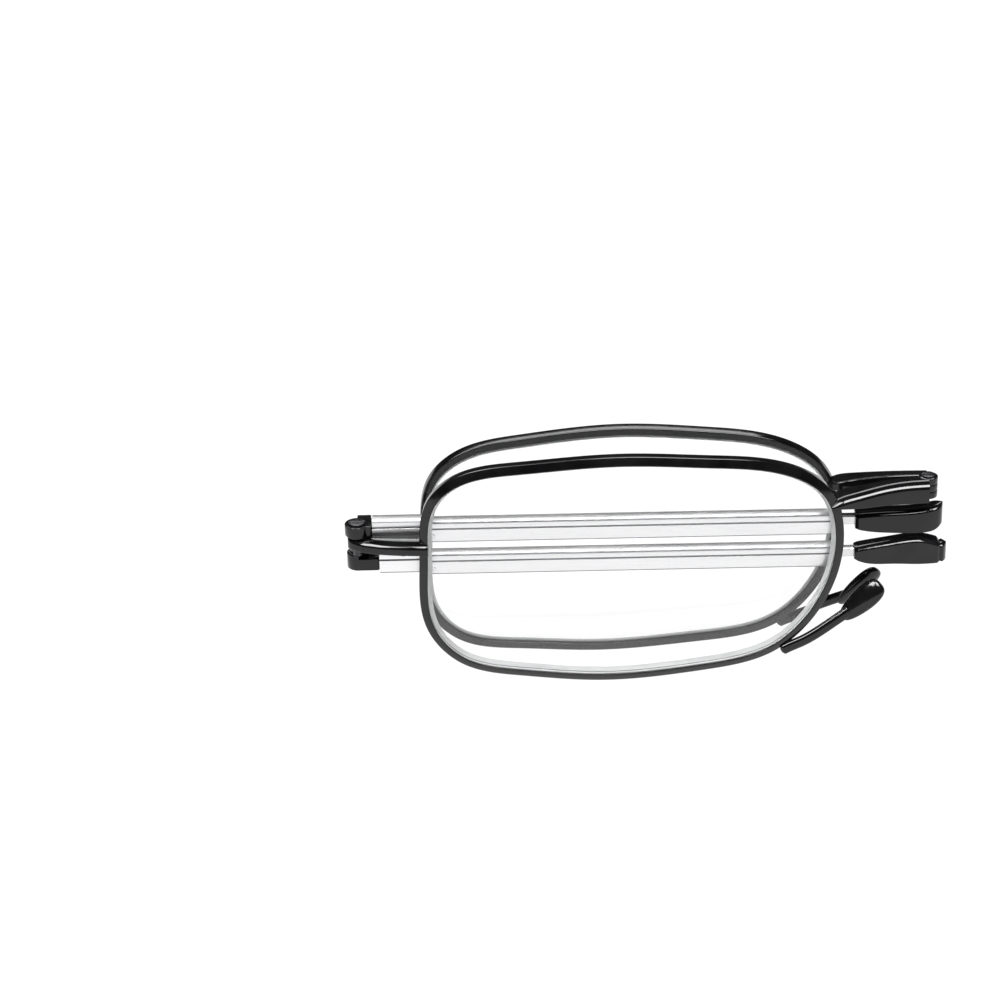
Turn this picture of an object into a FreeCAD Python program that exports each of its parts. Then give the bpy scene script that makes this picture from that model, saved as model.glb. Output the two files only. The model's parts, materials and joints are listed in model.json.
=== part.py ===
import FreeCAD
import Part
import os

from FreeCAD import Vector

# Folding reading glasses, folded flat and standing on their rims. Millimetres.
# X runs along the lenses, with the folded bridge at +X. Y runs through the stack of the two halves: the
# front half fills -Y, the rear half is its mirror image in the plane Y = 0. Z is up.
# Inside this file X = 0 is the folded bridge's end; every solid is shifted to the common origin when saved.

# driving dimensions
ORIGIN_X = -33.3          # centre of the folded length
THROUGH = 10.0            # how far a cutting tool runs past what it cuts

RIM_FRONT = 4.85          # middle plane to the foremost line of a rim
RIM_DEPTH = 1.7
RIM_WALL = 1.0
BOW_R = 222.0             # upright cylinder that the rims and lenses follow
LENS_X = -34.85
# rim outline: distance from the bridge end, height above the rim's foot
RIM_OUTLINE = [(10.75, 17.7), (12.5, 23.65), (17.0, 26.75), (26.0, 28.25), (36.05, 28.75), (47.7, 27.8),
               (55.05, 26.0), (57.95, 23.25), (59.15, 15.6), (58.25, 5.9), (54.75, 2.15), (47.75, 0.6),
               (38.6, 0.0), (26.7, 1.0), (18.65, 3.0), (13.3, 8.3)]
GROOVE_DEEP = 0.4
GROOVE_WIDE = 0.7
LENS_THICK = 1.5
LENS_PLAY = 0.05

BRIDGE_X = -1.05          # bridge hinge axis, at Y = 0
BRIDGE_LOW = 21.0
BRIDGE_HIGH = 23.5
# stations along the front bridge arm: x, y of its front and back faces, bottom and top
BRIDGE_RUN = [(-11.4, -3.8, -0.9, 21.2, 22.3), (-9.4, -3.5, -0.7, 21.1, 22.75),
              (-6.4, -2.8, -0.45, 21.05, 23.2), (-3.4, -2.35, -0.2, 21.0, 23.45),
              (-1.1, -2.2, -0.1, BRIDGE_LOW, BRIDGE_HIGH)]
LEAVES = 3                # hinge leaves, counted from the lowest
LEAF_R = 1.1
LEAF_GAP = 0.05
LEAF_TALL = (BRIDGE_HIGH - BRIDGE_LOW - LEAF_GAP * (LEAVES - 1)) / LEAVES
LEAF_ROOM = 0.1           # clearance round the other half's leaves
BRIDGE_PIN_R = 0.4
BRIDGE_HEAD_R = 0.75
BRIDGE_HEAD = 0.18
PIN_END = 0.12            # how far a pin or screw stands out past its hole
PIN_PLAY = 0.03

AXIS_X = -66.2            # temple hinge axes
AXIS_Y = 1.15             # distance from the middle plane
END_LOW = 16.45           # end-piece
END_HIGH = 17.95
EYE_R = 1.1
# the front end-piece in plan: its front face from the rim to the eye, then its back face to the rim
END_FRONT = [(-58.1, -4.0), (-60.6, -3.92), (-63.6, -3.45), (-65.9, -2.7), (AXIS_X - EYE_R, -AXIS_Y)]
END_BACK = [(-65.1, -1.3), (-64.0, -1.6), (-61.5, -1.65), (-59.0, -1.75)]
END_ROOT = (-58.1, -2.15)
EAR_ABOVE_BAR = 0.7       # underside of the rear end-piece's long eye, above the lower temple's centre line
KNUCKLE_R = 1.4
WASHER = 0.15
SCREW_R = 0.5
SCREW_HEAD_R = 0.95
SCREW_HEAD = 0.2
SCREW_TAIL = 1.05         # length of the upper hinge screw below its end-piece
SCREW_BITE = 0.5          # end-piece left over the end of the lower hinge screw
SLOT_HALF = 0.12          # driver slots
SLOT_DEEP = 0.1
RIM_SCREW_X = -60.9
RIM_SCREW_Y = 2.75
RIM_SCREW_R = 0.45
RIM_HEAD_R = 0.7

PAD_LONG = 6.2
PAD_WIDE = 3.0
PAD_THICK = 1.5
PAD_X = -8.4
PAD_Y = 1.75
PAD_Z = 8.4
PAD_TILT = 45.0           # lean of the pad's long axis from upright
PAD_TURN = 32.0           # turn of its face
ARM_R = 0.5
ARM_BEND_R = 0.54
ARM_RUN = [(-17.3, -3.6, 3.3), (-15.4, -3.45, 4.15), (-12.4, -2.8, 5.75), (-10.1, -2.05, 7.0)]
LUG_R = 0.75              # lug that joins the arm to the rim
LUG_LONG = 1.6

BAR_TALL = 2.5            # outer channel of a temple
BAR_DEEP = 1.9
BAR_WALL = 0.3
BAR_ROUND = 0.25
BAR_END = -10.9
LINE_UP = 0.17            # the pressed line's height above the centre, as a share of BAR_TALL
LINE_HALF = 0.08
LINE_DEEP = 0.12
UPPER_BAR_Z = 18.2        # heights of the two temples' centre lines
LOWER_BAR_Z = 14.05
UPPER_BAR_X = -64.5
LOWER_BAR_X = -63.8
ROD_TALL = 1.1            # inner rod that slides in the channel
ROD_DEEP = 1.0
ROD_PLAY = 0.03
GUIDE_LONG = 3.0
GUIDE_PLAY = 0.04
COLLAR_LONG = 2.0
COLLAR_LIP = 0.15
TANG_END = -56.6          # inner end of the heel's tang
TANG_PLAY = 0.02
HEEL_FLANK = 0.9          # hinge axis to the heel's outer flank
RIVET_X = -57.6
RIVET_DOWN = 0.5          # below the bar's centre line
RIVET_R = 0.35
RIVET_PROUD = 0.05
TIP_START = -9.3
TIP_DEEP = 2.4
ROD_START = TANG_END + 0.6
ROD_END = TIP_START + 5.0
# side outlines of the tips: distance from the tip's start, bottom and top relative to the rod's centre
UPPER_TIP = [(0.0, -0.85, 0.95), (1.0, -1.1, 1.05), (4.5, -1.45, 1.25), (7.5, -1.5, 1.45),
             (9.0, -1.2, 1.75), (10.0, -0.6, 2.0)]
LOWER_TIP = [(0.0, -0.65, 0.75), (1.0, -1.05, 0.95), (4.5, -1.3, 1.55), (7.5, -1.4, 1.85), (10.6, -1.2, 0.95)]


def box(x0, x1, y0, y1, z0, z1):
    return Part.makeBox(x1 - x0, y1 - y0, z1 - z0, Vector(x0, y0, z0))


def bar_box(x0, x1, half_deep, half_tall, bar_z):
    """A box along X, centred on Y = 0 and on the height bar_z."""
    return box(x0, x1, -half_deep, half_deep, bar_z - half_tall, bar_z + half_tall)


def upright(r, x, y, z0, z1):
    return Part.makeCylinder(r, z1 - z0, Vector(x, y, z0))


def slot_head(r, x, y, z0, z1, slot_z):
    """A screw head with a driver slot sunk into the face at slot_z."""
    head = upright(r, x, y, z0, z1)
    slot = box(x - r, x + r, y - SLOT_HALF, y + SLOT_HALF, slot_z - SLOT_DEEP, slot_z + SLOT_DEEP)
    return head.cut(slot)


def mirrored(shape):
    return shape.mirror(Vector(0, 0, 0), Vector(0, 1, 0))


def largest(shape):
    return max(shape.removeSplitter().Solids, key=lambda s: s.Volume)


# ---- rims and lenses ----

def outline_wire(inset):
    points = [Vector(-u, -THROUGH, z) for u, z in RIM_OUTLINE]
    curve = Part.BSplineCurve()
    curve.interpolate(Points=points, PeriodicFlag=True)
    if inset:
        moved = []
        for p in points:
            along = curve.tangent(curve.parameter(p))[0]
            moved.append(p + along.cross(Vector(0, 1, 0)).normalize() * inset)
        curve = Part.BSplineCurve()
        curve.interpolate(Points=moved, PeriodicFlag=True)
    return Part.Wire([curve.toShape()])


def outline_prism(inset):
    return Part.Face(outline_wire(inset)).extrude(Vector(0, THROUGH, 0))


def bowed_layer(front, back):
    """The layer between two upright cylinders, at these depths behind the rim's foremost line."""
    foot = Vector(LENS_X, BOW_R - RIM_FRONT, -THROUGH)
    tall = RIM_OUTLINE[4][1] + 2 * THROUGH
    outer = Part.makeCylinder(BOW_R - front, tall, foot)
    return outer.cut(Part.makeCylinder(BOW_R - back, tall, foot))


def rim():
    ring = outline_prism(0).cut(outline_prism(RIM_WALL)).common(bowed_layer(0, RIM_DEPTH))
    middle = RIM_DEPTH / 2
    groove = outline_prism(RIM_WALL - GROOVE_DEEP)
    groove = groove.common(bowed_layer(middle - GROOVE_WIDE / 2, middle + GROOVE_WIDE / 2))
    return ring.cut(groove)


def lens():
    middle = RIM_DEPTH / 2
    disc = outline_prism(RIM_WALL + LENS_PLAY)
    disc = disc.common(bowed_layer(middle - LENS_THICK / 2, middle + LENS_THICK / 2))
    edge = outline_prism(RIM_WALL - GROOVE_DEEP + LENS_PLAY)
    half = GROOVE_WIDE / 2 - LENS_PLAY
    return disc.fuse(edge.common(bowed_layer(middle - half, middle + half))).removeSplitter()


def clear_of_rim(shape, rim_solid):
    """What is left of a shape outside the rim and outside the lens opening."""
    return shape.cut(rim_solid).cut(outline_prism(RIM_WALL))


# ---- end-pieces ----

def smooth_edge(points, z):
    curve = Part.BSplineCurve()
    curve.interpolate([Vector(x, y, z) for x, y in points])
    return curve.toShape()


def straight_edge(a, b, z):
    return Part.makeLine(Vector(*a, z), Vector(*b, z))


def end_piece(rim_solid, eye_low):
    """Front half's end-piece: a bar that bends back from the rim to a round eye over the hinge axis."""
    edges = [smooth_edge(END_FRONT, END_LOW), straight_edge(END_FRONT[-1], END_BACK[0], END_LOW),
             smooth_edge(END_BACK, END_LOW), straight_edge(END_BACK[-1], END_ROOT, END_LOW),
             straight_edge(END_ROOT, END_FRONT[0], END_LOW)]
    body = Part.Face(Part.Wire(edges)).extrude(Vector(0, 0, END_HIGH - END_LOW))
    body = body.fuse(upright(EYE_R, AXIS_X, -AXIS_Y, eye_low, END_HIGH))
    body = clear_of_rim(body, rim_solid)
    body = body.cut(upright(RIM_SCREW_R + PIN_PLAY, RIM_SCREW_X, -RIM_SCREW_Y, END_LOW, END_HIGH))
    return largest(body)


def rim_screw():
    """The screw that clamps the rim shut in the end-piece; it goes in from below."""
    foot = END_LOW - SCREW_HEAD
    head = slot_head(RIM_HEAD_R, RIM_SCREW_X, -RIM_SCREW_Y, foot, END_LOW, foot)
    shank = upright(RIM_SCREW_R, RIM_SCREW_X, -RIM_SCREW_Y, END_LOW, END_HIGH)
    return head.fuse(shank).removeSplitter()


# ---- bridge ----

def station(x, y0, y1, z0, z1):
    corners = [Vector(x, y0, z0), Vector(x, y1, z0), Vector(x, y1, z1), Vector(x, y0, z1)]
    return Part.makePolygon(corners + corners[:1])


def bridge(rim_solid, own_leaves):
    """Front half's bridge arm, with its own hinge leaves and room for the other half's."""
    body = Part.makeLoft([station(*s) for s in BRIDGE_RUN], True)
    for leaf in range(LEAVES):
        low = BRIDGE_LOW + leaf * (LEAF_TALL + LEAF_GAP)
        high = low + LEAF_TALL
        if leaf in own_leaves:
            body = body.fuse(upright(LEAF_R, BRIDGE_X, 0, low, high))
            body = body.fuse(box(BRIDGE_X - LEAF_R, BRIDGE_X, -LEAF_R, 0, low, high))
        else:
            body = body.cut(upright(LEAF_R + LEAF_ROOM, BRIDGE_X, 0, low - LEAF_GAP, high + LEAF_GAP))
    body = clear_of_rim(body, rim_solid)
    body = body.cut(upright(BRIDGE_PIN_R + PIN_PLAY, BRIDGE_X, 0, 0, BRIDGE_HIGH + THROUGH))
    return largest(body)


def bridge_pin():
    top = BRIDGE_HIGH + BRIDGE_HEAD
    shank = upright(BRIDGE_PIN_R, BRIDGE_X, 0, BRIDGE_LOW - PIN_END, BRIDGE_HIGH)
    head = slot_head(BRIDGE_HEAD_R, BRIDGE_X, 0, BRIDGE_HIGH, top, top)
    return shank.fuse(head).removeSplitter()


# ---- nose pads ----

def nose_pad():
    """A pad with straight flanks and half-round ends."""
    half = PAD_THICK / 2
    reach = (PAD_LONG - PAD_WIDE) / 2
    pad = box(-half, half, -PAD_WIDE / 2, PAD_WIDE / 2, -reach, reach)
    for z in (-reach, reach):
        pad = pad.fuse(Part.makeCylinder(PAD_WIDE / 2, PAD_THICK, Vector(-half, 0, z), Vector(1, 0, 0)))
    pad = pad.removeSplitter()
    pad.rotate(Vector(0, 0, 0), Vector(0, 0, 1), 90 - PAD_TURN)
    pad.rotate(Vector(0, 0, 0), Vector(0, 1, 0), PAD_TILT)
    pad.translate(Vector(PAD_X, -PAD_Y, PAD_Z))
    return pad


def pad_arm(side):
    """A bent wire from a lug under the rim to the pad: straight runs with a ball at each bend."""
    points = [Vector(x, -side * y, z) for x, y, z in ARM_RUN]
    arm = Part.makeCylinder(LUG_R, LUG_LONG, points[0] - Vector(LUG_LONG / 2, 0, 0), Vector(1, 0, 0))
    for a, b in zip(points, points[1:]):
        arm = arm.fuse(Part.makeCylinder(ARM_R, a.distanceToPoint(b), a, b - a))
        if b != points[-1]:
            arm = arm.fuse(Part.makeSphere(ARM_BEND_R, b))
    for tool in (rim(), outline_prism(RIM_WALL), nose_pad()):
        arm = arm.cut(mirrored(tool) if side > 0 else tool)
    return largest(arm)


# ---- temples ----

def rivet_hole(bar_z):
    foot = Vector(RIVET_X, -THROUGH, bar_z - RIVET_DOWN)
    return Part.makeCylinder(RIVET_R, 2 * THROUGH, foot, Vector(0, 1, 0))


def rivet(bar_z):
    half = BAR_DEEP / 2 + RIVET_PROUD
    return Part.makeCylinder(RIVET_R, 2 * half, Vector(RIVET_X, -half, bar_z - RIVET_DOWN), Vector(0, 1, 0))


def heel(bar_x, bar_z, side, knuckle_low, knuckle_high):
    """Hinge knuckle with the tang that is riveted into the channel; side is -1 in the front half."""
    y = side * AXIS_Y
    body = upright(KNUCKLE_R, AXIS_X, y, knuckle_low, knuckle_high)
    flank = sorted((y + side * HEEL_FLANK, -side * BAR_DEEP / 2))
    body = body.fuse(box(AXIS_X, bar_x - 0.1, flank[0], flank[1], knuckle_low, knuckle_high))
    shrink = BAR_WALL + TANG_PLAY
    tang = bar_box(bar_x - 0.5, TANG_END, BAR_DEEP / 2 - shrink, BAR_TALL / 2 - shrink, bar_z)
    body = body.fuse(tang)
    body = body.cut(upright(SCREW_R + PIN_PLAY, AXIS_X, y, 0, knuckle_high + THROUGH))
    return body.cut(rivet_hole(bar_z)).removeSplitter()


def channel(bar_x, bar_z):
    """Folded sheet channel: a rectangular tube with a pressed line along both broad faces."""
    tube = bar_box(bar_x, BAR_END, BAR_DEEP / 2, BAR_TALL / 2, bar_z)
    long_edges = [e for e in tube.Edges if abs(e.tangentAt(e.FirstParameter).x) > 0.9]
    tube = tube.makeFillet(BAR_ROUND, long_edges)
    bore = bar_box(bar_x - 1, BAR_END + 1, BAR_DEEP / 2 - BAR_WALL, BAR_TALL / 2 - BAR_WALL, bar_z)
    tube = tube.cut(bore)
    line_z = bar_z + BAR_TALL * LINE_UP
    for side in (-1, 1):
        near, far = sorted((side * BAR_DEEP / 2, side * (BAR_DEEP / 2 - LINE_DEEP)))
        tube = tube.cut(box(bar_x - 1, BAR_END + 1, near, far, line_z - LINE_HALF, line_z + LINE_HALF))
    return tube.cut(rivet_hole(bar_z))


def collar(bar_z):
    """Bush pressed into the channel's mouth, in which the rod slides."""
    bush = bar_box(BAR_END - COLLAR_LONG, BAR_END + COLLAR_LIP,
                   BAR_DEEP / 2 - BAR_WALL, BAR_TALL / 2 - BAR_WALL, bar_z)
    bore = bar_box(BAR_END - THROUGH, BAR_END + THROUGH,
                   ROD_DEEP / 2 + ROD_PLAY, ROD_TALL / 2 + ROD_PLAY, bar_z)
    return bush.cut(bore)


def rod(bar_z):
    return bar_box(ROD_START, ROD_END, ROD_DEEP / 2, ROD_TALL / 2, bar_z)


def rod_guide(bar_z):
    """Sleeve fixed on the rod's inner end: it runs in the channel and stops against the collar."""
    shrink = BAR_WALL + GUIDE_PLAY
    sleeve = bar_box(ROD_START, ROD_START + GUIDE_LONG, BAR_DEEP / 2 - shrink, BAR_TALL / 2 - shrink, bar_z)
    return sleeve.cut(rod(bar_z))


def tip(stations, bar_z):
    """Flat moulded ear tip: a side outline pushed through its thickness, rounded at the outer end."""
    low = [Vector(TIP_START + a, -TIP_DEEP / 2, bar_z + b) for a, b, c in stations]
    high = [Vector(TIP_START + a, -TIP_DEEP / 2, bar_z + c) for a, b, c in stations]
    under = Part.BSplineCurve()
    under.interpolate(low)
    over = Part.BSplineCurve()
    over.interpolate(high[::-1])
    outer_end = Part.makeLine(low[-1], high[-1])
    inner_end = Part.makeLine(high[0], low[0])
    edges = [under.toShape(), outer_end, over.toShape(), inner_end]
    body = Part.Face(Part.Wire(edges)).extrude(Vector(0, TIP_DEEP, 0))
    nose_x = TIP_START + stations[-1][0] - TIP_DEEP / 2
    plan = bar_box(TIP_START - 1, nose_x, TIP_DEEP, 3, bar_z)
    plan = plan.fuse(upright(TIP_DEEP / 2, nose_x, 0, bar_z - 3, bar_z + 3))
    return largest(body.common(plan).cut(rod(bar_z)))


# ---- temple hinges ----

def hinge_screw(side, head_z, end_z):
    """Hinge screw on a temple axis: the head stands at head_z, the shank ends at end_z."""
    y = side * AXIS_Y
    head_top = head_z + (SCREW_HEAD if head_z > end_z else -SCREW_HEAD)
    head = slot_head(SCREW_HEAD_R, AXIS_X, y, min(head_z, head_top), max(head_z, head_top), head_top)
    shank = upright(SCREW_R, AXIS_X, y, min(head_z, end_z), max(head_z, end_z))
    return head.fuse(shank).removeSplitter()


def washer(side, low):
    ring = upright(KNUCKLE_R - 0.2, AXIS_X, side * AXIS_Y, low, low + WASHER)
    return ring.cut(upright(SCREW_R + PIN_PLAY, AXIS_X, side * AXIS_Y, 0, low + THROUGH))


def build():
    """Every sub-part, by node name."""
    parts = {}
    front_rim = rim()
    ear_low = LOWER_BAR_Z + EAR_ABOVE_BAR
    upper_low = END_HIGH + WASHER
    upper_high = UPPER_BAR_Z + BAR_TALL / 2
    lower_low = LOWER_BAR_Z - BAR_TALL / 2
    lower_high = ear_low - WASHER
    screw_hole = upright(SCREW_R, AXIS_X, -AXIS_Y, 0, END_HIGH + THROUGH)
    blind_hole = upright(SCREW_R, AXIS_X, -AXIS_Y, 0, END_HIGH - SCREW_BITE)
    # the front half's shape, and the shape that is mirrored for the rear half
    pair = {
        "rim": (front_rim, front_rim),
        "lens": (lens(),) * 2,
        "end_piece": (end_piece(front_rim, END_LOW).cut(screw_hole),
                      end_piece(front_rim, ear_low).cut(blind_hole)),
        "rim_screw": (rim_screw(),) * 2,
        "bridge": (bridge(front_rim, (0, 2)), bridge(front_rim, (1,))),
        "nose_pad": (nose_pad(),) * 2,
    }
    for name, (front, rear) in pair.items():
        parts["front_" + name] = front
        parts["rear_" + name] = mirrored(rear)
    parts["front_pad_arm"] = pad_arm(-1)
    parts["rear_pad_arm"] = pad_arm(1)
    parts["bridge_pin"] = bridge_pin()
    parts["upper_hinge_screw"] = hinge_screw(-1, upper_high, END_LOW - SCREW_TAIL)
    parts["lower_hinge_screw"] = hinge_screw(1, lower_low, END_HIGH - SCREW_BITE)
    parts["upper_washer"] = washer(-1, END_HIGH)
    parts["lower_washer"] = washer(1, lower_high)
    parts["upper_heel"] = heel(UPPER_BAR_X, UPPER_BAR_Z, -1, upper_low, upper_high)
    parts["lower_heel"] = heel(LOWER_BAR_X, LOWER_BAR_Z, 1, lower_low, lower_high)
    for name, bar_x, bar_z, tip_shape in (("upper", UPPER_BAR_X, UPPER_BAR_Z, UPPER_TIP),
                                          ("lower", LOWER_BAR_X, LOWER_BAR_Z, LOWER_TIP)):
        parts[name + "_channel"] = channel(bar_x, bar_z)
        parts[name + "_rivet"] = rivet(bar_z)
        parts[name + "_collar"] = collar(bar_z)
        parts[name + "_rod"] = rod(bar_z)
        parts[name + "_rod_guide"] = rod_guide(bar_z)
        parts[name + "_tip"] = tip(tip_shape, bar_z)
    return parts


def main():
    os.makedirs("parts", exist_ok=True)
    for name, shape in build().items():
        shape = shape.copy()
        shape.translate(Vector(-ORIGIN_X, 0, 0))
        shape.exportStep("parts/" + name + ".step")
        b = shape.BoundBox
        print(f"{name:20s} solids {len(shape.Solids)} valid {shape.isValid()} volume {shape.Volume:8.2f} "
              f"x {b.XMin:7.2f} {b.XMax:7.2f}  y {b.YMin:6.2f} {b.YMax:6.2f}  z {b.ZMin:6.2f} {b.ZMax:6.2f}")


main()
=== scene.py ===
import json
import math

import bmesh
import bpy
import numpy as np
from mathutils import Matrix, Vector

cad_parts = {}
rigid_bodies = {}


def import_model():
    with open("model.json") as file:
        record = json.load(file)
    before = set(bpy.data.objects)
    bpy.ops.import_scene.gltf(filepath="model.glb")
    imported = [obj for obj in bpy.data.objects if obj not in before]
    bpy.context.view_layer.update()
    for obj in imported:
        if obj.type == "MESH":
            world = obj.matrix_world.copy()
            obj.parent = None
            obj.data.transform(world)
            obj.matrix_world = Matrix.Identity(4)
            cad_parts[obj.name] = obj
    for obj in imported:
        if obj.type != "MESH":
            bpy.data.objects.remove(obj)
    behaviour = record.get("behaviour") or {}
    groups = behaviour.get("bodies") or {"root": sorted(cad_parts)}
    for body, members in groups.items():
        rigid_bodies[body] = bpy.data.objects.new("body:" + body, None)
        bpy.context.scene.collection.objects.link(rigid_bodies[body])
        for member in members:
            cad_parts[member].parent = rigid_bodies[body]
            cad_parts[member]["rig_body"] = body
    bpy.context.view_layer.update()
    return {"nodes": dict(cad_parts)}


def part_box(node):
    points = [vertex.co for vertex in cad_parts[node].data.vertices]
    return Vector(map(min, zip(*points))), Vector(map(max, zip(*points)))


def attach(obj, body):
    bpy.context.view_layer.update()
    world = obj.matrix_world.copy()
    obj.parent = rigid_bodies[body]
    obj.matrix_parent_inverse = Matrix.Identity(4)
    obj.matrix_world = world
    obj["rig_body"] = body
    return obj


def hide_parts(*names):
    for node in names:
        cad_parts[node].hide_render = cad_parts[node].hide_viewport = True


# Folding reading glasses, folded flat and standing on their rims. Sizes are millimetres in the frame's own
# axes, and MM turns them into metres: X along the lenses with the bridge at +X, the front half at -Y, Z up.
# The rear half is the front half mirrored in Y = 0: side is -1 in front and +1 behind.

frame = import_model()
MM = 0.001
SIDES = (("front", -1), ("rear", 1))
BARS = ("upper", "lower")
CREASE = 40               # degrees: sharper edges than this aren't smoothed over
LENS_CREASE = 30

# rims and lenses
RIM_OUTLINE = [(22.55, 17.7), (20.8, 23.65), (16.3, 26.75), (7.3, 28.25), (-2.75, 28.75), (-14.4, 27.8),
               (-21.75, 26.0), (-24.65, 23.25), (-25.85, 15.6), (-24.95, 5.9), (-21.45, 2.15), (-14.45, 0.6),
               (-5.3, 0.0), (6.6, 1.0), (14.65, 3.0), (20.0, 8.3)]
RIM_POINTS = 360
RIM_FRONT = 4.85          # middle plane to the foremost line of a rim
RIM_DEPTH = 1.7
RIM_WALL = 1.0            # the wire's height at its front
RIM_SLANT = 0.1           # how much lower its outer face is at the back
RIM_BEVEL = 0.5           # its front face slopes back by this towards the outer edge
RIM_ROUND = (0.12, 0.15, 0.12, 0.04, 0.04, 0.04, 0.04, 0.1)     # corner radii of its section
BOW_R = 222.0             # the halves are bowed about an upright axis at BOW_X
BOW_X = -1.55
LENS_THICK = 1.5
LENS_FIT = 0.05           # room between a lens and the wire's inner face
LENS_BEVEL = 0.35         # the lens edge runs this far into the rim's groove
LENS_CHAMFER = (0.45, 0.3)     # width and depth of the flat ground along the inner side
LENS_ROUND = (0.12, 0.08)      # how far the front and back edges bulge before the bevel
LENS_LOOPS = (0.0005, 0.15, 0.3, 0.45, 0.6, 0.75, 0.88, 0.96)     # from a lens's centre out, as shares
GROOVE_DEEP = 0.4
GROOVE_WIDE = 0.7

# bridge: x, y of the front and back faces, bottom and top
BRIDGE_LOW = 21.0
BRIDGE_HIGH = 23.5
BRIDGE_RUN = [(21.0, -3.7, -1.6, 21.1, 21.8), (21.9, -3.8, -0.9, 21.2, 22.3),
              (23.9, -3.5, -0.7, 21.1, 22.75), (26.9, -2.8, -0.45, 21.05, 23.2),
              (29.9, -2.35, -0.2, BRIDGE_LOW, 23.45), (32.2, -2.2, -0.1, BRIDGE_LOW, BRIDGE_HIGH)]
BRIDGE_X = 32.25          # hinge axis
LEAVES = 3                # hinge leaves: the front half has the outer two
LEAF_R = 1.1
LEAF_GAP = 0.05

# reach of rounded corners along Y and Z
SOFT = (0.2, 0.2)
BRIDGE_CROWN = (1.2, 0.85)
END_CROWN = (1.7, 0.8)
TIP_CROWN = (0.8, 0.5)
DISC_SOFT = 0.08

# end-piece: x, y of the front and back faces
END_RUN = [(-24.8, -4.0, -2.15), (-25.7, -3.98, -1.8), (-28.2, -3.8, -1.65), (-30.3, -3.45, -1.55),
           (-31.7, -3.05, -1.1), (-32.6, -2.7, -0.3), (-33.3, -2.25, -0.15), (-33.8, -1.8, -0.5),
           (-34.0, -1.45, -0.9)]
END_LOW = 16.45
END_HIGH = 17.97
AXIS = (-32.9, 1.15)      # temple hinge axis of the rear half
EYE_R = 1.1               # its eye reaches down to the lower temple
EYE_LOW = 14.75
EYE_HIGH = END_HIGH - 0.1
SHANK_HIGH = 17.4         # the rim screws' shanks end inside the rounded top

# temples
BAR_TALL = 2.5
BAR_DEEP = 1.9
BAR_WALL = 0.3
BAR_LEAN = 0.06           # the section is narrower by this at its top
BAR_EDGE = 0.16           # corner radii: long edges, pressed line, bore
PRESS_EDGE = 0.02
BORE_EDGE = 0.05
PRESS_DEEP = 0.12         # line pressed into both broad faces, its edges as shares of half the height
PRESS_TOP = (0.45, 0.43)
PRESS_LOW = (0.29, 0.27)
BAR_MOUTH = 0.05          # chamfer round the mouth
BAR_ROUND = 3             # steps in each corner of the section
BAR_Z = {"upper": 18.2, "lower": 14.05}
HEEL_FLANK = (-0.9, 12.9, 13.2)     # a heel's edge before this y and below this z is lifted to the last z
TIP_START = 24.0
TIP_DEEP = 2.4
TIP_NECK = (0.82, 0.4)    # a tip's share of its depth where it starts, and the gain for each millimetre
TIP_PINCH = {"upper": 0.0, "lower": 0.22}     # depth of the groove round a tip near its outer end
PINCH_PLACE = 0.75        # from the end
PINCH_WIDE = 0.16
PINCH_SIDES = 0.8         # its depth at the sides and below, as shares of that on top
PINCH_BELOW = 0.5
TIP_BLUNT = 0.05          # square of the half depth left at a tip's outer end
# side outlines of the tips: distance from the start, bottom and top relative to the bar's centre line
TIP_RUN = {"upper": [(0.0, -0.85, 0.95), (1.0, -1.1, 1.05), (4.5, -1.45, 1.25), (7.5, -1.5, 1.45),
                     (9.0, -1.2, 1.75), (10.0, -0.6, 2.0)],
           "lower": [(0.0, -0.65, 0.75), (1.0, -1.05, 0.95), (4.5, -1.3, 1.55), (7.5, -1.4, 1.85),
                     (10.6, -1.2, 0.95)]}

# nose pads
PAD_CENTRE = (24.9, -1.75, 8.4)
PAD_LONG = 6.2
PAD_WIDE = 3.0
PAD_THICK = 1.5
PAD_TILT = 45.0
PAD_TURN = 32.0
PAD_SWELL = 0.62          # powers of the outline and of the section: lower is fuller
PAD_CROWN = 0.85
PAD_FULL = (0.92, 0.2)    # fullness half way up, and its gain at the upper end
ARM_R = 0.5
ARM_FLAT = (1.3, 0.9)     # the wire's half width and half depth, as shares of ARM_R
ARM_SHOULDER = 0.8        # power of its section: 1 is an ellipse, 0 a rectangle
ARM_FOOT = (0.45, 10)     # share of ARM_R at the rim, and how fast it reaches the full size
ARM_RUN = [(15.6, -3.6, 3.1), (16.6, -3.55, 3.6), (17.9, -3.45, 4.15), (20.9, -2.8, 5.75),
           (23.4, -1.95, 7.15)]


# ---- curves ----

def hermite(a, b, slope_a, slope_b, long, t):
    """A cubic from a to b with end slopes, at the share t of its parameter length."""
    t = t[:, None]
    return (a * (2 * t ** 3 - 3 * t ** 2 + 1) + b * (3 * t ** 2 - 2 * t ** 3)
            + long * (slope_a * (t ** 3 - 2 * t ** 2 + t) + slope_b * (t ** 3 - t ** 2)))


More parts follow.
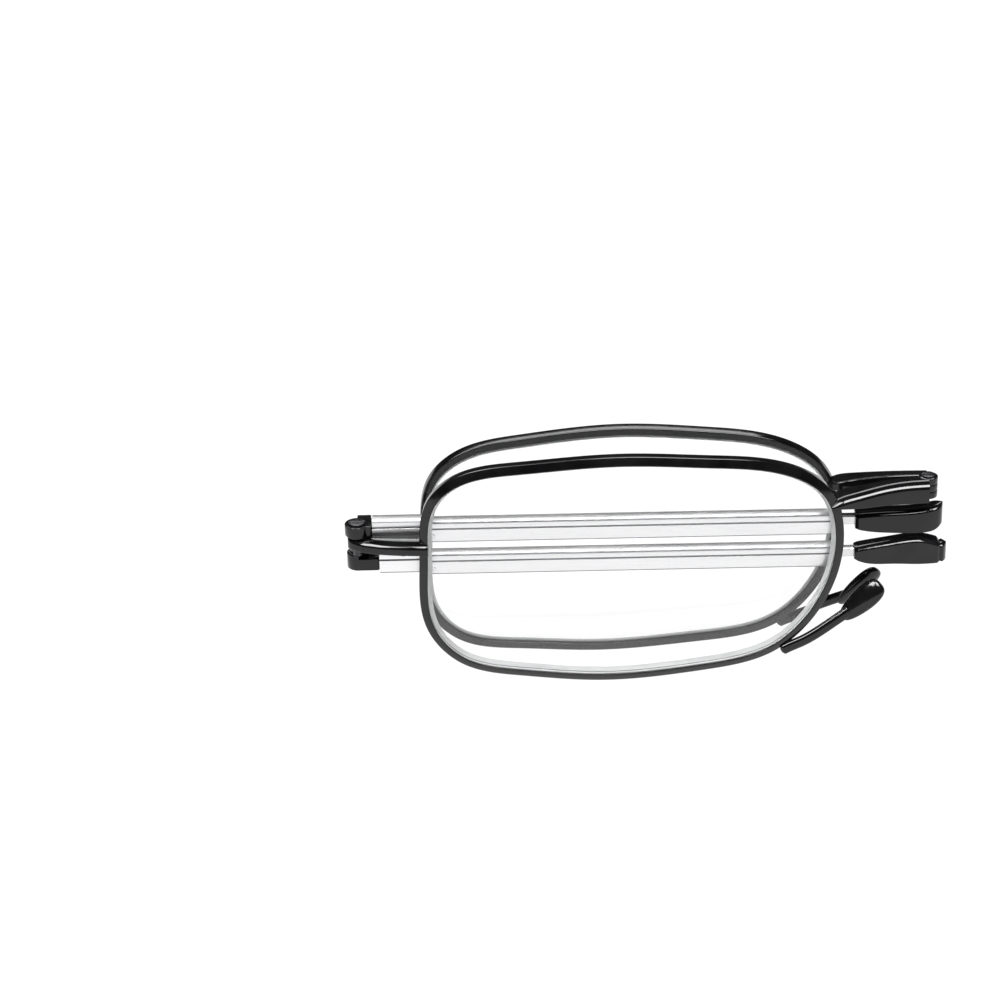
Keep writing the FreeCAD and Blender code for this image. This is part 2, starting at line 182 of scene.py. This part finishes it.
def spline(points, closed, per_span):
    """Points on the smooth cubic spline through these points."""
    p = np.array(points, float)
    n = len(p)
    spans = n if closed else n - 1
    after = np.roll(p, -1, 0)
    h = np.linalg.norm(after - p, axis=1)
    rise = (after - p) / h[:, None]
    matrix = np.zeros((n, n))
    right = np.zeros(p.shape)
    for i in range(n):
        if closed or 0 < i < n - 1:
            matrix[i, i - 1] = h[i]
            matrix[i, i] = 2 * (h[i - 1] + h[i])
            matrix[i, (i + 1) % n] = h[i - 1]
            right[i] = 3 * (h[i] * rise[i - 1] + h[i - 1] * rise[i])
        else:
            other = 1 if i == 0 else n - 2
            matrix[i, i] = 2
            matrix[i, other] = 1
            right[i] = 3 * rise[min(i, other)]
    slope = np.linalg.solve(matrix, right)
    t = np.arange(per_span) / per_span
    runs = [hermite(p[i], after[i], slope[i], slope[(i + 1) % n], h[i], t) for i in range(spans)]
    if not closed:
        runs.append(p[-1:])
    return np.vstack(runs)


def angles(count):
    """So many even steps round a circle."""
    return np.linspace(0, 2 * math.pi, count, endpoint=False)


def fuller(value, power):
    """A sine or cosine raised to a power below 1, with its sign kept: it gives sections broader shoulders."""
    return math.copysign(abs(value) ** power, value)


def even(points, count):
    """count points, evenly spaced, along a closed line."""
    loop = np.vstack([points, points[:1]])
    far = np.concatenate([[0], np.cumsum(np.linalg.norm(np.diff(loop, axis=0), axis=1))])
    at = np.arange(count) * far[-1] / count
    return np.stack([np.interp(at, far, loop[:, k]) for k in range(loop.shape[1])], axis=1)


def rounded(corners, radius, steps=4):
    """A polygon with a curve in place of each corner. radius is one number or one for each corner."""
    n = len(corners)
    radii = radius if isinstance(radius, (list, tuple)) else [radius] * n
    longest = 0.48            # of a side
    out = []
    for i in range(n):
        corner = Vector(corners[i])
        back = Vector(corners[i - 1]) - corner
        ahead = Vector(corners[(i + 1) % n]) - corner
        reach = radii[i] / math.tan(back.angle(ahead) / 2)
        reach = min(reach, longest * back.length, longest * ahead.length)
        start = corner + back.normalized() * reach
        end = corner + ahead.normalized() * reach
        for k in range(steps + 1):
            t = k / steps
            out.append(start * (1 - t) ** 2 + corner * (2 * t * (1 - t)) + end * t ** 2)
    return out


# ---- meshes ----

def piece(name, skin, finish, body, nodes, crease=CREASE):
    """An object from a skin of vertices and faces, riding on a body and standing for CAD nodes."""
    verts, faces = skin
    mesh = bpy.data.meshes.new(name)
    mesh.from_pydata([Vector(v) * MM for v in verts], [], faces)
    return dress(bpy.data.objects.new(name, mesh), finish, body, nodes, crease)


def dress(obj, finish, body, nodes, crease=CREASE):
    """Gives an object its normals and materials, and sets its body and CAD nodes."""
    mesh = obj.data
    bm = bmesh.new()
    bm.from_mesh(mesh)
    bmesh.ops.recalc_face_normals(bm, faces=bm.faces)
    bm.to_mesh(mesh)
    bm.free()
    mesh.shade_smooth()
    mesh.set_sharp_from_angle(angle=math.radians(crease))
    mesh.materials.clear()
    for m in finish if isinstance(finish, tuple) else (finish,):
        mesh.materials.append(m)
    bpy.context.scene.collection.objects.link(obj)
    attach(obj, body)
    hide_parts(*nodes)
    return obj


def loft(rings, closed=False):
    """Vertices and faces of a skin over rings of equal length; an open one gets a cap at each end."""
    n = len(rings[0])
    verts = [tuple(p) for ring in rings for p in ring]
    faces = []
    for i in range(len(rings) if closed else len(rings) - 1):
        a = i * n
        b = (i + 1) % len(rings) * n
        for k in range(n):
            m = (k + 1) % n
            faces.append((a + k, a + m, b + m, b + k))
    if not closed:
        faces.append(tuple(range(n)))
        faces.append(tuple(range(len(verts) - n, len(verts)))[::-1])
    return verts, faces


def joined(*skins):
    """Several (vertices, faces) as one."""
    verts, faces = [], []
    for v, f in skins:
        base = len(verts)
        verts.extend(v)
        faces.extend(tuple(i + base for i in face) for face in f)
    return verts, faces


def softened(node, round_mm, finish, reshape=None):
    """A copy of a CAD node with its sharp edges rounded, after reshape has moved its vertices."""
    weld = 0.002
    flat_angle = 1
    sharp_angle = 35
    mesh = frame["nodes"][node].data.copy()
    bm = bmesh.new()
    bm.from_mesh(mesh)
    if reshape:
        for v in bm.verts:
            reshape(v.co)
    bmesh.ops.remove_doubles(bm, verts=bm.verts, dist=weld * MM)
    bmesh.ops.dissolve_limit(bm, angle_limit=math.radians(flat_angle), verts=bm.verts, edges=bm.edges)
    sharp = [e for e in bm.edges
             if len(e.link_faces) == 2 and e.calc_face_angle() > math.radians(sharp_angle)]
    bmesh.ops.bevel(bm, geom=sharp, offset=round_mm * MM, segments=3, profile=0.5, affect="EDGES",
                    clamp_overlap=True)
    bm.to_mesh(mesh)
    bm.free()
    name = node + "_shown"
    mesh.name = name
    obj = bpy.data.objects.new(name, mesh)
    dress(obj, finish, frame["nodes"][node]["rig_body"], (node,))
    obj.modifiers.new("even shading", "WEIGHTED_NORMAL").keep_sharp = True
    return obj


# ---- materials ----

DEEP_BLACK = (0.0015, 0.0015, 0.0017)


def material(name, **values):
    """A new material; values sets sockets of its shader, whose names are written with underscores."""
    made = bpy.data.materials.new(name)
    made.use_nodes = True
    shader = made.node_tree.nodes["Principled BSDF"]
    for socket, value in values.items():
        shader.inputs[socket.replace("_", " ").title().replace("Ior", "IOR")].default_value = value
    return made


def grain(made, size, detail=2.0):
    """The output of a noise texture. size is its features' length: one number or one for each axis."""
    tree = made.node_tree
    sizes = size if isinstance(size, tuple) else (size,) * 3
    place = tree.nodes.new("ShaderNodeTexCoord")
    scale = tree.nodes.new("ShaderNodeMapping")
    scale.inputs["Scale"].default_value = [1 / (s * MM) for s in sizes]
    noise = tree.nodes.new("ShaderNodeTexNoise")
    noise.inputs["Scale"].default_value = 1.0
    noise.inputs["Detail"].default_value = detail
    tree.links.new(place.outputs["Object"], scale.inputs["Vector"])
    tree.links.new(scale.outputs["Vector"], noise.inputs["Vector"])
    return noise.outputs["Fac"]


def steer(made, source, socket, low, high):
    """Takes a shader socket from low to high, numbers or colours, over the middle of a noise output."""
    tree = made.node_tree
    shader = tree.nodes["Principled BSDF"]
    span = (0.35, 0.65)
    if isinstance(low, tuple):
        ramp = tree.nodes.new("ShaderNodeValToRGB")
        for stop, place, colour in zip(ramp.color_ramp.elements, span, (low, high)):
            stop.position = place
            stop.color = (*colour, 1)
        tree.links.new(source, ramp.inputs["Fac"])
        tree.links.new(ramp.outputs["Color"], shader.inputs[socket])
        return
    spread = tree.nodes.new("ShaderNodeMapRange")
    spread.inputs["From Min"].default_value = span[0]
    spread.inputs["From Max"].default_value = span[1]
    spread.inputs["To Min"].default_value = low
    spread.inputs["To Max"].default_value = high
    tree.links.new(source, spread.inputs["Value"])
    tree.links.new(spread.outputs["Result"], shader.inputs[socket])


def bump(made, source, height):
    """Fine relief of this height from a noise output."""
    tree = made.node_tree
    relief = tree.nodes.new("ShaderNodeBump")
    relief.inputs["Strength"].default_value = 1.0
    relief.inputs["Distance"].default_value = height * MM
    tree.links.new(source, relief.inputs["Height"])
    tree.links.new(relief.outputs["Normal"], tree.nodes["Principled BSDF"].inputs["Normal"])


def lacquer(name, gloss):
    """Black lacquer on metal: deep black, faint orange peel, slightly uneven gloss."""
    made = material(name, ior=1.46)
    steer(made, grain(made, 3.0), "Base Color", DEEP_BLACK, (0.004, 0.004, 0.0043))
    steer(made, grain(made, 0.6, 4), "Roughness", gloss, gloss + 0.07)
    bump(made, grain(made, 0.9), 0.006)
    return made


def moulded(name, gloss, peel):
    """Black moulded plastic; peel is the height of its faint unevenness."""
    made = material(name, ior=1.46)
    steer(made, grain(made, 4.0), "Base Color", DEEP_BLACK, (0.005, 0.005, 0.0055))
    steer(made, grain(made, 0.8, 5), "Roughness", gloss, gloss + 0.08)
    bump(made, grain(made, 1.4, 3), peel)
    return made


def brushed(name, tint, rough):
    """Metal brushed along X."""
    made = material(name, metallic=1.0)
    streaks = grain(made, (14.0, 0.06, 0.06), 3)
    steer(made, streaks, "Base Color", tuple(0.93 * c for c in tint), tint)
    steer(made, streaks, "Roughness", rough - 0.03, rough + 0.05)
    bump(made, streaks, 0.001)
    return made


def turned(name, tint, rough):
    """Turned steel with fine marks and a little staining."""
    made = material(name, metallic=1.0)
    steer(made, grain(made, 0.5, 4), "Base Color", tuple(0.7 * c for c in tint), tint)
    steer(made, grain(made, 0.12), "Roughness", rough - 0.05, rough + 0.1)
    bump(made, grain(made, (0.08, 0.08, 0.5)), 0.003)
    return made


def glass():
    """Clear polished lens plastic with a trace of smearing."""
    made = material("lens_clear", base_color=(1, 1, 1, 1), ior=1.5, transmission_weight=1.0)
    steer(made, grain(made, 5.0, 3), "Roughness", 0.0, 0.012)
    return made


def ground_edge():
    """The ground edge of the lenses."""
    made = material("lens_edge", base_color=(0.68, 0.69, 0.69, 1), ior=1.5, transmission_weight=0.1)
    steer(made, grain(made, 0.15, 3), "Roughness", 0.35, 0.55)
    bump(made, grain(made, 0.1), 0.01)
    return made


def nylon():
    """Matt black nylon of the washers, collars and guides."""
    made = material("bush_nylon", ior=1.53)
    steer(made, grain(made, 0.7, 3), "Base Color", (0.012, 0.012, 0.013), (0.03, 0.03, 0.032))
    steer(made, grain(made, 0.3, 3), "Roughness", 0.35, 0.5)
    bump(made, grain(made, 0.2), 0.006)
    return made


RIM_BLACK = lacquer("rim_black", 0.1)
FRONT_BLACK = lacquer("front_black", 0.07)
BRIDGE_BLACK = lacquer("bridge_black", 0.07)
HINGE_BLACK = lacquer("hinge_black", 0.12)
TIP_BLACK = moulded("tip_black", 0.08, 0.012)
PAD_BLACK = moulded("pad_black", 0.1, 0.02)
ALUMINIUM = brushed("temple_aluminium", (0.93, 0.93, 0.94), 0.3)
# painted shade: this dark aluminium goes on the channels' long edges, underside and pressed lines in place of
# the shade and dark reflections there
PAINTED_SHADE_ALUMINIUM = brushed("temple_painted_shade", (0.2, 0.2, 0.21), 0.4)
ROD_STEEL = brushed("rod_steel", (0.75, 0.75, 0.76), 0.2)
SCREW_STEEL = turned("screw_steel", (0.07, 0.07, 0.075), 0.3)
NYLON = nylon()
LENS = (glass(), ground_edge())


# ---- rims and lenses ----

def front_y(x, side):
    """The bowed foremost surface of a half, as a Y place."""
    return side * (RIM_FRONT - BOW_R + math.sqrt(BOW_R ** 2 - (x - BOW_X) ** 2))


def rim_line():
    """Points round the rim's outline with their outward directions."""
    line = even(spline(RIM_OUTLINE, True, 40), RIM_POINTS)
    along = np.roll(line, -1, 0) - np.roll(line, 1, 0)
    along /= np.linalg.norm(along, axis=1)[:, None]
    outward = np.stack([along[:, 1], -along[:, 0]], axis=1)
    middle = line.mean(0)
    if np.sum((line - middle) * outward) < 0:
        outward = -outward
    return line, outward


LINE, OUTWARD = rim_line()


def rim_ring(profile, side):
    """Sweeps (outward, depth) profile points round the outline."""
    rings = []
    for (x, z), (nx, nz) in zip(LINE, OUTWARD):
        ring = []
        for out, depth in profile:
            px = x + nx * out
            ring.append((px, front_y(px, side) - side * depth, z + nz * out))
        rings.append(ring)
    return loft(rings, closed=True)


def rim(name, side):
    """The rim's wire, with the lens groove in its inner face."""
    middle = RIM_DEPTH / 2
    half = GROOVE_WIDE / 2
    corners = [(0, RIM_BEVEL), (-RIM_SLANT, RIM_DEPTH), (-RIM_WALL, RIM_DEPTH), (-RIM_WALL, middle + half),
               (GROOVE_DEEP - RIM_WALL, middle + half), (GROOVE_DEEP - RIM_WALL, middle - half),
               (-RIM_WALL, middle - half), (-RIM_WALL, 0)]
    skin = rim_ring(rounded(corners, RIM_ROUND), side)
    piece(name + "_rim_wire", skin, RIM_BLACK, name + "_half", (name + "_rim",))


def inner(by):
    """The rim's outline, moved in by so much."""
    return LINE - OUTWARD * by


def lens(name, side):
    """Front surface, bevelled edge and back surface, as loops from the front centre to the back centre."""
    centre = LINE.mean(0)
    front = (RIM_DEPTH - LENS_THICK) / 2
    back = front + LENS_THICK
    flat_wide, flat_deep = LENS_CHAMFER
    front_round, back_round = LENS_ROUND
    inset = RIM_WALL + LENS_FIT
    edge = [(inner(inset), front), (inner(inset - front_round), front + front_round),
            (inner(inset - LENS_BEVEL), RIM_DEPTH / 2),
            (inner(inset - back_round), back - flat_deep - back_round), (inner(inset), back - flat_deep),
            (inner(inset + flat_wide), back)]
    loops = [(centre + (edge[0][0] - centre) * share, front) for share in LENS_LOOPS]
    loops += edge
    loops += [(centre + (edge[-1][0] - centre) * share, back) for share in reversed(LENS_LOOPS)]
    rings = []
    for loop, depth in loops:
        rings.append([(x, front_y(x, side) - side * depth, z) for x, z in loop])
    obj = piece(name + "_lens_glass", loft(rings), LENS, name + "_half", (name + "_lens",),
                LENS_CREASE)
    first = len(LENS_LOOPS) * len(LINE)
    last = first + (len(edge) - 1) * len(LINE)
    for face in obj.data.polygons[first:last]:
        face.material_index = 1


# ---- bars and discs ----

def section(x, y0, y1, z0, z1, under, near, far, steps=8):
    """A bar's section across X, with elliptic corners: under is the (y, z) reach of the lower two, near and
    far those of the upper ones at y0 and y1."""
    way = 1 if y1 > y0 else -1
    longest = 0.97            # of a side, for the two corners on it
    across = min(1, longest * abs(y1 - y0) / (near[0] + far[0]))
    upright = min(1, longest * (z1 - z0) / (under[1] + max(near[1], far[1])))
    ring = []
    for y, z, inward, up, reach, start in ((y0, z0, way, 1, under, 0), (y0, z1, way, -1, near, 1),
                                           (y1, z1, -way, -1, far, 0), (y1, z0, -way, 1, under, 1)):
        ry, rz = reach[0] * across, reach[1] * upright
        for k in range(steps + 1):
            a = math.pi / 2 * abs(start - k / steps)
            ring.append((x, y + inward * ry * (1 - math.sin(a)), z + up * rz * (1 - math.cos(a))))
    return ring


def disc(radius, x, y, z0, z1):
    """An upright round bar with softened rims."""
    cut = 0.3 * DISC_SOFT     # what a rounded rim's middle lies short of the sharp one
    steps = [(-DISC_SOFT, 0), (-cut, cut), (0, DISC_SOFT)]
    levels = [(radius + d, z0 + up) for d, up in steps]
    levels += [(radius + d, z1 - up) for d, up in reversed(steps)]
    return loft([[(x + r * math.cos(a), y + r * math.sin(a), z) for a in angles(48)] for r, z in levels])


# ---- end-pieces ----

def end_piece(name, side):
    """A bar bent back from the rim to the eye of the temple hinge, well rounded along its outer top edge."""
    rings = [section(x, side * -y0, side * -y1, END_LOW, END_HIGH, SOFT, END_CROWN, SOFT)
             for x, y0, y1 in spline(END_RUN, False, 8)]
    skins = [loft(rings)]
    if side > 0:
        skins.append(disc(EYE_R, *AXIS, EYE_LOW, EYE_HIGH))
    piece(name + "_end_bar", joined(*skins), FRONT_BLACK, name + "_half",
          (name + "_end_piece",))


# ---- bridge ----

def bridge(name, side, own):
    """A crowned arm that rises from the rim to the bridge hinge, and this half's own hinge leaves."""
    rings = [section(x, side * -y0, side * -y1, z0, z1, SOFT, BRIDGE_CROWN, SOFT)
             for x, y0, y1, z0, z1 in spline(BRIDGE_RUN, False, 10)]
    skins = [loft(rings)]
    tall = (BRIDGE_HIGH - BRIDGE_LOW - LEAF_GAP * (LEAVES - 1)) / LEAVES
    for leaf in own:
        low = BRIDGE_LOW + leaf * (tall + LEAF_GAP)
        skins.append(disc(LEAF_R, BRIDGE_X, 0, low, low + tall))
    piece(name + "_bridge_arm", joined(*skins), BRIDGE_BLACK, name + "_half",
          (name + "_bridge",))


# ---- nose pads ----

def pad(name, side):
    """A crowned pad, fuller at its upper end."""
    long, wide, thick = PAD_LONG / 2, PAD_WIDE / 2, PAD_THICK / 2
    tilt = Matrix.Rotation(math.radians(PAD_TILT), 3, "Y")
    turn = tilt @ Matrix.Rotation(math.radians(90 - PAD_TURN), 3, "Z")
    rings = []
    for a in np.linspace(-math.pi / 2, math.pi / 2, 25)[1:-1]:
        along = math.sin(a)
        swell = fuller(math.cos(a), PAD_SWELL) * (PAD_FULL[0] + PAD_FULL[1] * along)
        ring = []
        for b in angles(40):
            crown = fuller(math.cos(b), PAD_CROWN)
            p = turn @ Vector((thick * crown * swell, wide * math.sin(b) * swell, long * along))
            ring.append((p.x + PAD_CENTRE[0], side * (-p.y - PAD_CENTRE[1]), p.z + PAD_CENTRE[2]))
        rings.append(ring)
    piece(name + "_pad", loft(rings), PAD_BLACK, name + "_half", (name + "_nose_pad",))


def arm(name, side):
    """A flattened wire that starts narrow under the rim and bends up to the pad."""
    run = spline(ARM_RUN, False, 10)
    last = len(run) - 1
    rings = []
    for i, p in enumerate(run):
        along = Vector(run[min(i + 1, last)] - run[max(i - 1, 0)]).normalized()
        across = along.cross(Vector((0, 1, 0))).normalized()
        deep = along.cross(across)
        r = ARM_R * min(1, ARM_FOOT[0] + ARM_FOOT[1] * i / last)
        ring = []
        for b in angles(24):
            v = (Vector(p) + across * (ARM_FLAT[0] * r * fuller(math.cos(b), ARM_SHOULDER))
                 + deep * (ARM_FLAT[1] * r * fuller(math.sin(b), ARM_SHOULDER)))
            ring.append((v.x, -side * v.y, v.z))
        rings.append(ring)
    piece(name + "_pad_wire", loft(rings), FRONT_BLACK, name + "_half", (name + "_pad_arm",))


# ---- temples ----

def shrunk(outline, by):
    """An outline round the origin with each point moved in by so much both ways."""
    return [Vector((p.x - math.copysign(by, p.x), p.y - math.copysign(by, p.y))) for p in outline]


def channel(name, body):
    """Outer channel of a temple: its pressed line parts each broad face into two bands."""
    low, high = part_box(name + "_channel")
    z = BAR_Z[name]
    y = BAR_DEEP / 2
    top = BAR_TALL / 2
    half = [(y - BAR_LEAN, top), (y, top * PRESS_TOP[0]), (y - PRESS_DEEP, top * PRESS_TOP[1]),
            (y - PRESS_DEEP, top * PRESS_LOW[0]), (y, top * PRESS_LOW[1]), (y, -top)]
    radii = [BAR_EDGE, PRESS_EDGE, PRESS_EDGE, PRESS_EDGE, PRESS_EDGE, BAR_EDGE]
    outside = rounded(half + [(-a, b) for a, b in reversed(half)], radii + radii[::-1], BAR_ROUND)
    w = BAR_WALL
    inner_corners = [(y - w, top - w), (y - w, -top + w), (-y + w, -top + w), (-y + w, top - w)]
    bore = np.array([tuple(p) for p in rounded(inner_corners, BORE_EDGE, 3)])
    bore = [Vector(p) for p in even(bore, len(outside))]
    x0, x1 = low.x / MM, high.x / MM
    mouth = shrunk(outside, BAR_MOUTH)
    # the outside from the heel end to the mouth, then back along the bore
    rings = []
    for x, outline in ((x0, outside), (x1 - BAR_MOUTH, outside), (x1, mouth), (x1, bore), (x0, bore)):
        rings.append([(x, p.x, z + p.y) for p in outline])
    obj = piece(name + "_bar", loft(rings, closed=True), (ALUMINIUM, PAINTED_SHADE_ALUMINIUM), body,
                (name + "_channel",))
    # on the outside, the long edges, the underside and the pressed lines get painted shade, a darker and
    # rougher aluminium than the broad faces in place of the shade and dark reflections there: stretches of
    # the section from one (corner, step) to another
    end = BAR_ROUND
    stretches = (((0, 0), (0, end)), ((1, end), (4, 0)), ((5, 0), (6, end)), ((7, end), (10, 0)),
                 ((11, 0), (11, end)))
    painted_shade = set()
    for (corner, step), (last_corner, last_step) in stretches:
        painted_shade.update(range(corner * (end + 1) + step, last_corner * (end + 1) + last_step))
    for face in obj.data.polygons[:2 * len(outside)]:
        if face.index % len(outside) in painted_shade:
            face.material_index = 1


def tip(name, body):
    """Moulded ear tip, rounded off in plan at its outer end."""
    run = spline(TIP_RUN[name], False, 24)
    z = BAR_Z[name]
    end = run[-1][0]
    r = TIP_DEEP / 2
    rings = []
    for along, low, high in run:
        past = along - (end - r)
        deep = r if past <= 0 else math.sqrt(max(r ** 2 - past ** 2, TIP_BLUNT))
        deep *= min(1.0, TIP_NECK[0] + along * TIP_NECK[1])
        pinch = TIP_PINCH[name] * math.exp(-((along - end + PINCH_PLACE) / PINCH_WIDE) ** 2)
        deep -= PINCH_SIDES * pinch
        rings.append(section(TIP_START + along, -deep, deep, z + low + PINCH_BELOW * pinch, z + high - pinch,
                             SOFT, TIP_CROWN, TIP_CROWN))
    piece(name + "_ear_tip", loft(rings), TIP_BLACK, body, (name + "_tip",))


def thinner_flank(co):
    """Lifts the lower front edge of the lower heel, where it meets the channel."""
    y, z, lifted = HEEL_FLANK
    if co.y < y * MM and co.z < z * MM:
        co.z = lifted * MM


def shorter_shank(co):
    """Ends the rim screw's shank inside the end-piece's rounded top."""
    co.z = min(co.z, SHANK_HIGH * MM)


# ---- build ----

for name, side in SIDES:
    rim(name, side)
    lens(name, side)
    bridge(name, side, (0, 2) if side < 0 else (1,))
    pad(name, side)
    arm(name, side)
    end_piece(name, side)
    softened(name + "_rim_screw", 0.05, SCREW_STEEL, shorter_shank)

softened("bridge_pin", 0.05, SCREW_STEEL)
for name in BARS:
    channel(name, name + "_temple")
    tip(name, name + "_slider")
    softened(name + "_heel", 0.2, HINGE_BLACK, thinner_flank)
    softened(name + "_hinge_screw", 0.05, SCREW_STEEL)
    softened(name + "_washer", 0.03, NYLON)
    softened(name + "_rivet", 0.05, ROD_STEEL)
    softened(name + "_collar", 0.05, NYLON)
    softened(name + "_rod", 0.15, ROD_STEEL)
    softened(name + "_rod_guide", 0.05, NYLON)


# ---- stage ----

def floor():
    """A white ground that takes no shadow."""
    bpy.ops.mesh.primitive_plane_add(size=6)
    obj = bpy.context.object
    obj.name = "floor"
    obj.data.materials.append(material("floor_white", base_color=(0.02, 0.02, 0.02, 1), roughness=1.0,
                                       emission_color=(1, 1, 1, 1), emission_strength=1.0))


def softbox(name, place, target, wide, tall, power):
    """A rectangular light, placed in metres and aimed at the target."""
    light = bpy.data.lights.new(name, "AREA")
    light.shape = "RECTANGLE"
    light.size = wide
    light.size_y = tall
    light.energy = power
    obj = bpy.data.objects.new(name, light)
    bpy.context.scene.collection.objects.link(obj)
    obj.location = place
    obj.rotation_euler = (Vector(target) - Vector(place)).to_track_quat("-Z", "Y").to_euler()


def studio_world(strength):
    """An even white surround."""
    world = bpy.data.worlds.new("studio")
    world.use_nodes = True
    world.node_tree.nodes["Background"].inputs["Color"].default_value = (1, 1, 1, 1)
    world.node_tree.nodes["Background"].inputs["Strength"].default_value = strength
    bpy.context.scene.world = world


def camera(azimuth, elevation, roll, distance, target, focal_length):
    """The camera, at a distance from the target; azimuth 0 looks from -Y, and angles are degrees."""
    data = bpy.data.cameras.new("camera")
    data.lens = focal_length
    data.sensor_width = 36
    data.clip_start = 0.01
    obj = bpy.data.objects.new("camera", data)
    bpy.context.scene.collection.objects.link(obj)
    a, e = math.radians(azimuth), math.radians(elevation)
    away = Vector((math.sin(a) * math.cos(e), -math.cos(a) * math.cos(e), math.sin(e)))
    obj.location = (Vector(target) + away * distance) * MM
    turn = (-away).to_track_quat("-Z", "Y").to_matrix() @ Matrix.Rotation(math.radians(roll), 3, "Z")
    obj.rotation_euler = turn.to_euler()
    bpy.context.scene.camera = obj


floor()
softbox("overhead", place=(0.1, -0.42, 0.9), target=(0.02, 0, 0.02), wide=0.42, tall=0.5, power=15)
softbox("left_softbox", place=(-0.45, -0.4, 0.85), target=(-0.02, 0, 0.02), wide=0.42, tall=0.5, power=14)
softbox("back_softbox", place=(-0.1, 0.7, 0.72), target=(-0.01, 0, 0.02), wide=0.8, tall=0.25, power=3.4)
studio_world(0.03)
bpy.context.scene.view_settings.view_transform = "Standard"
camera(azimuth=0.3, elevation=27, roll=-1.29, distance=375, target=(-16.51, 0, 21.47), focal_length=118.35)
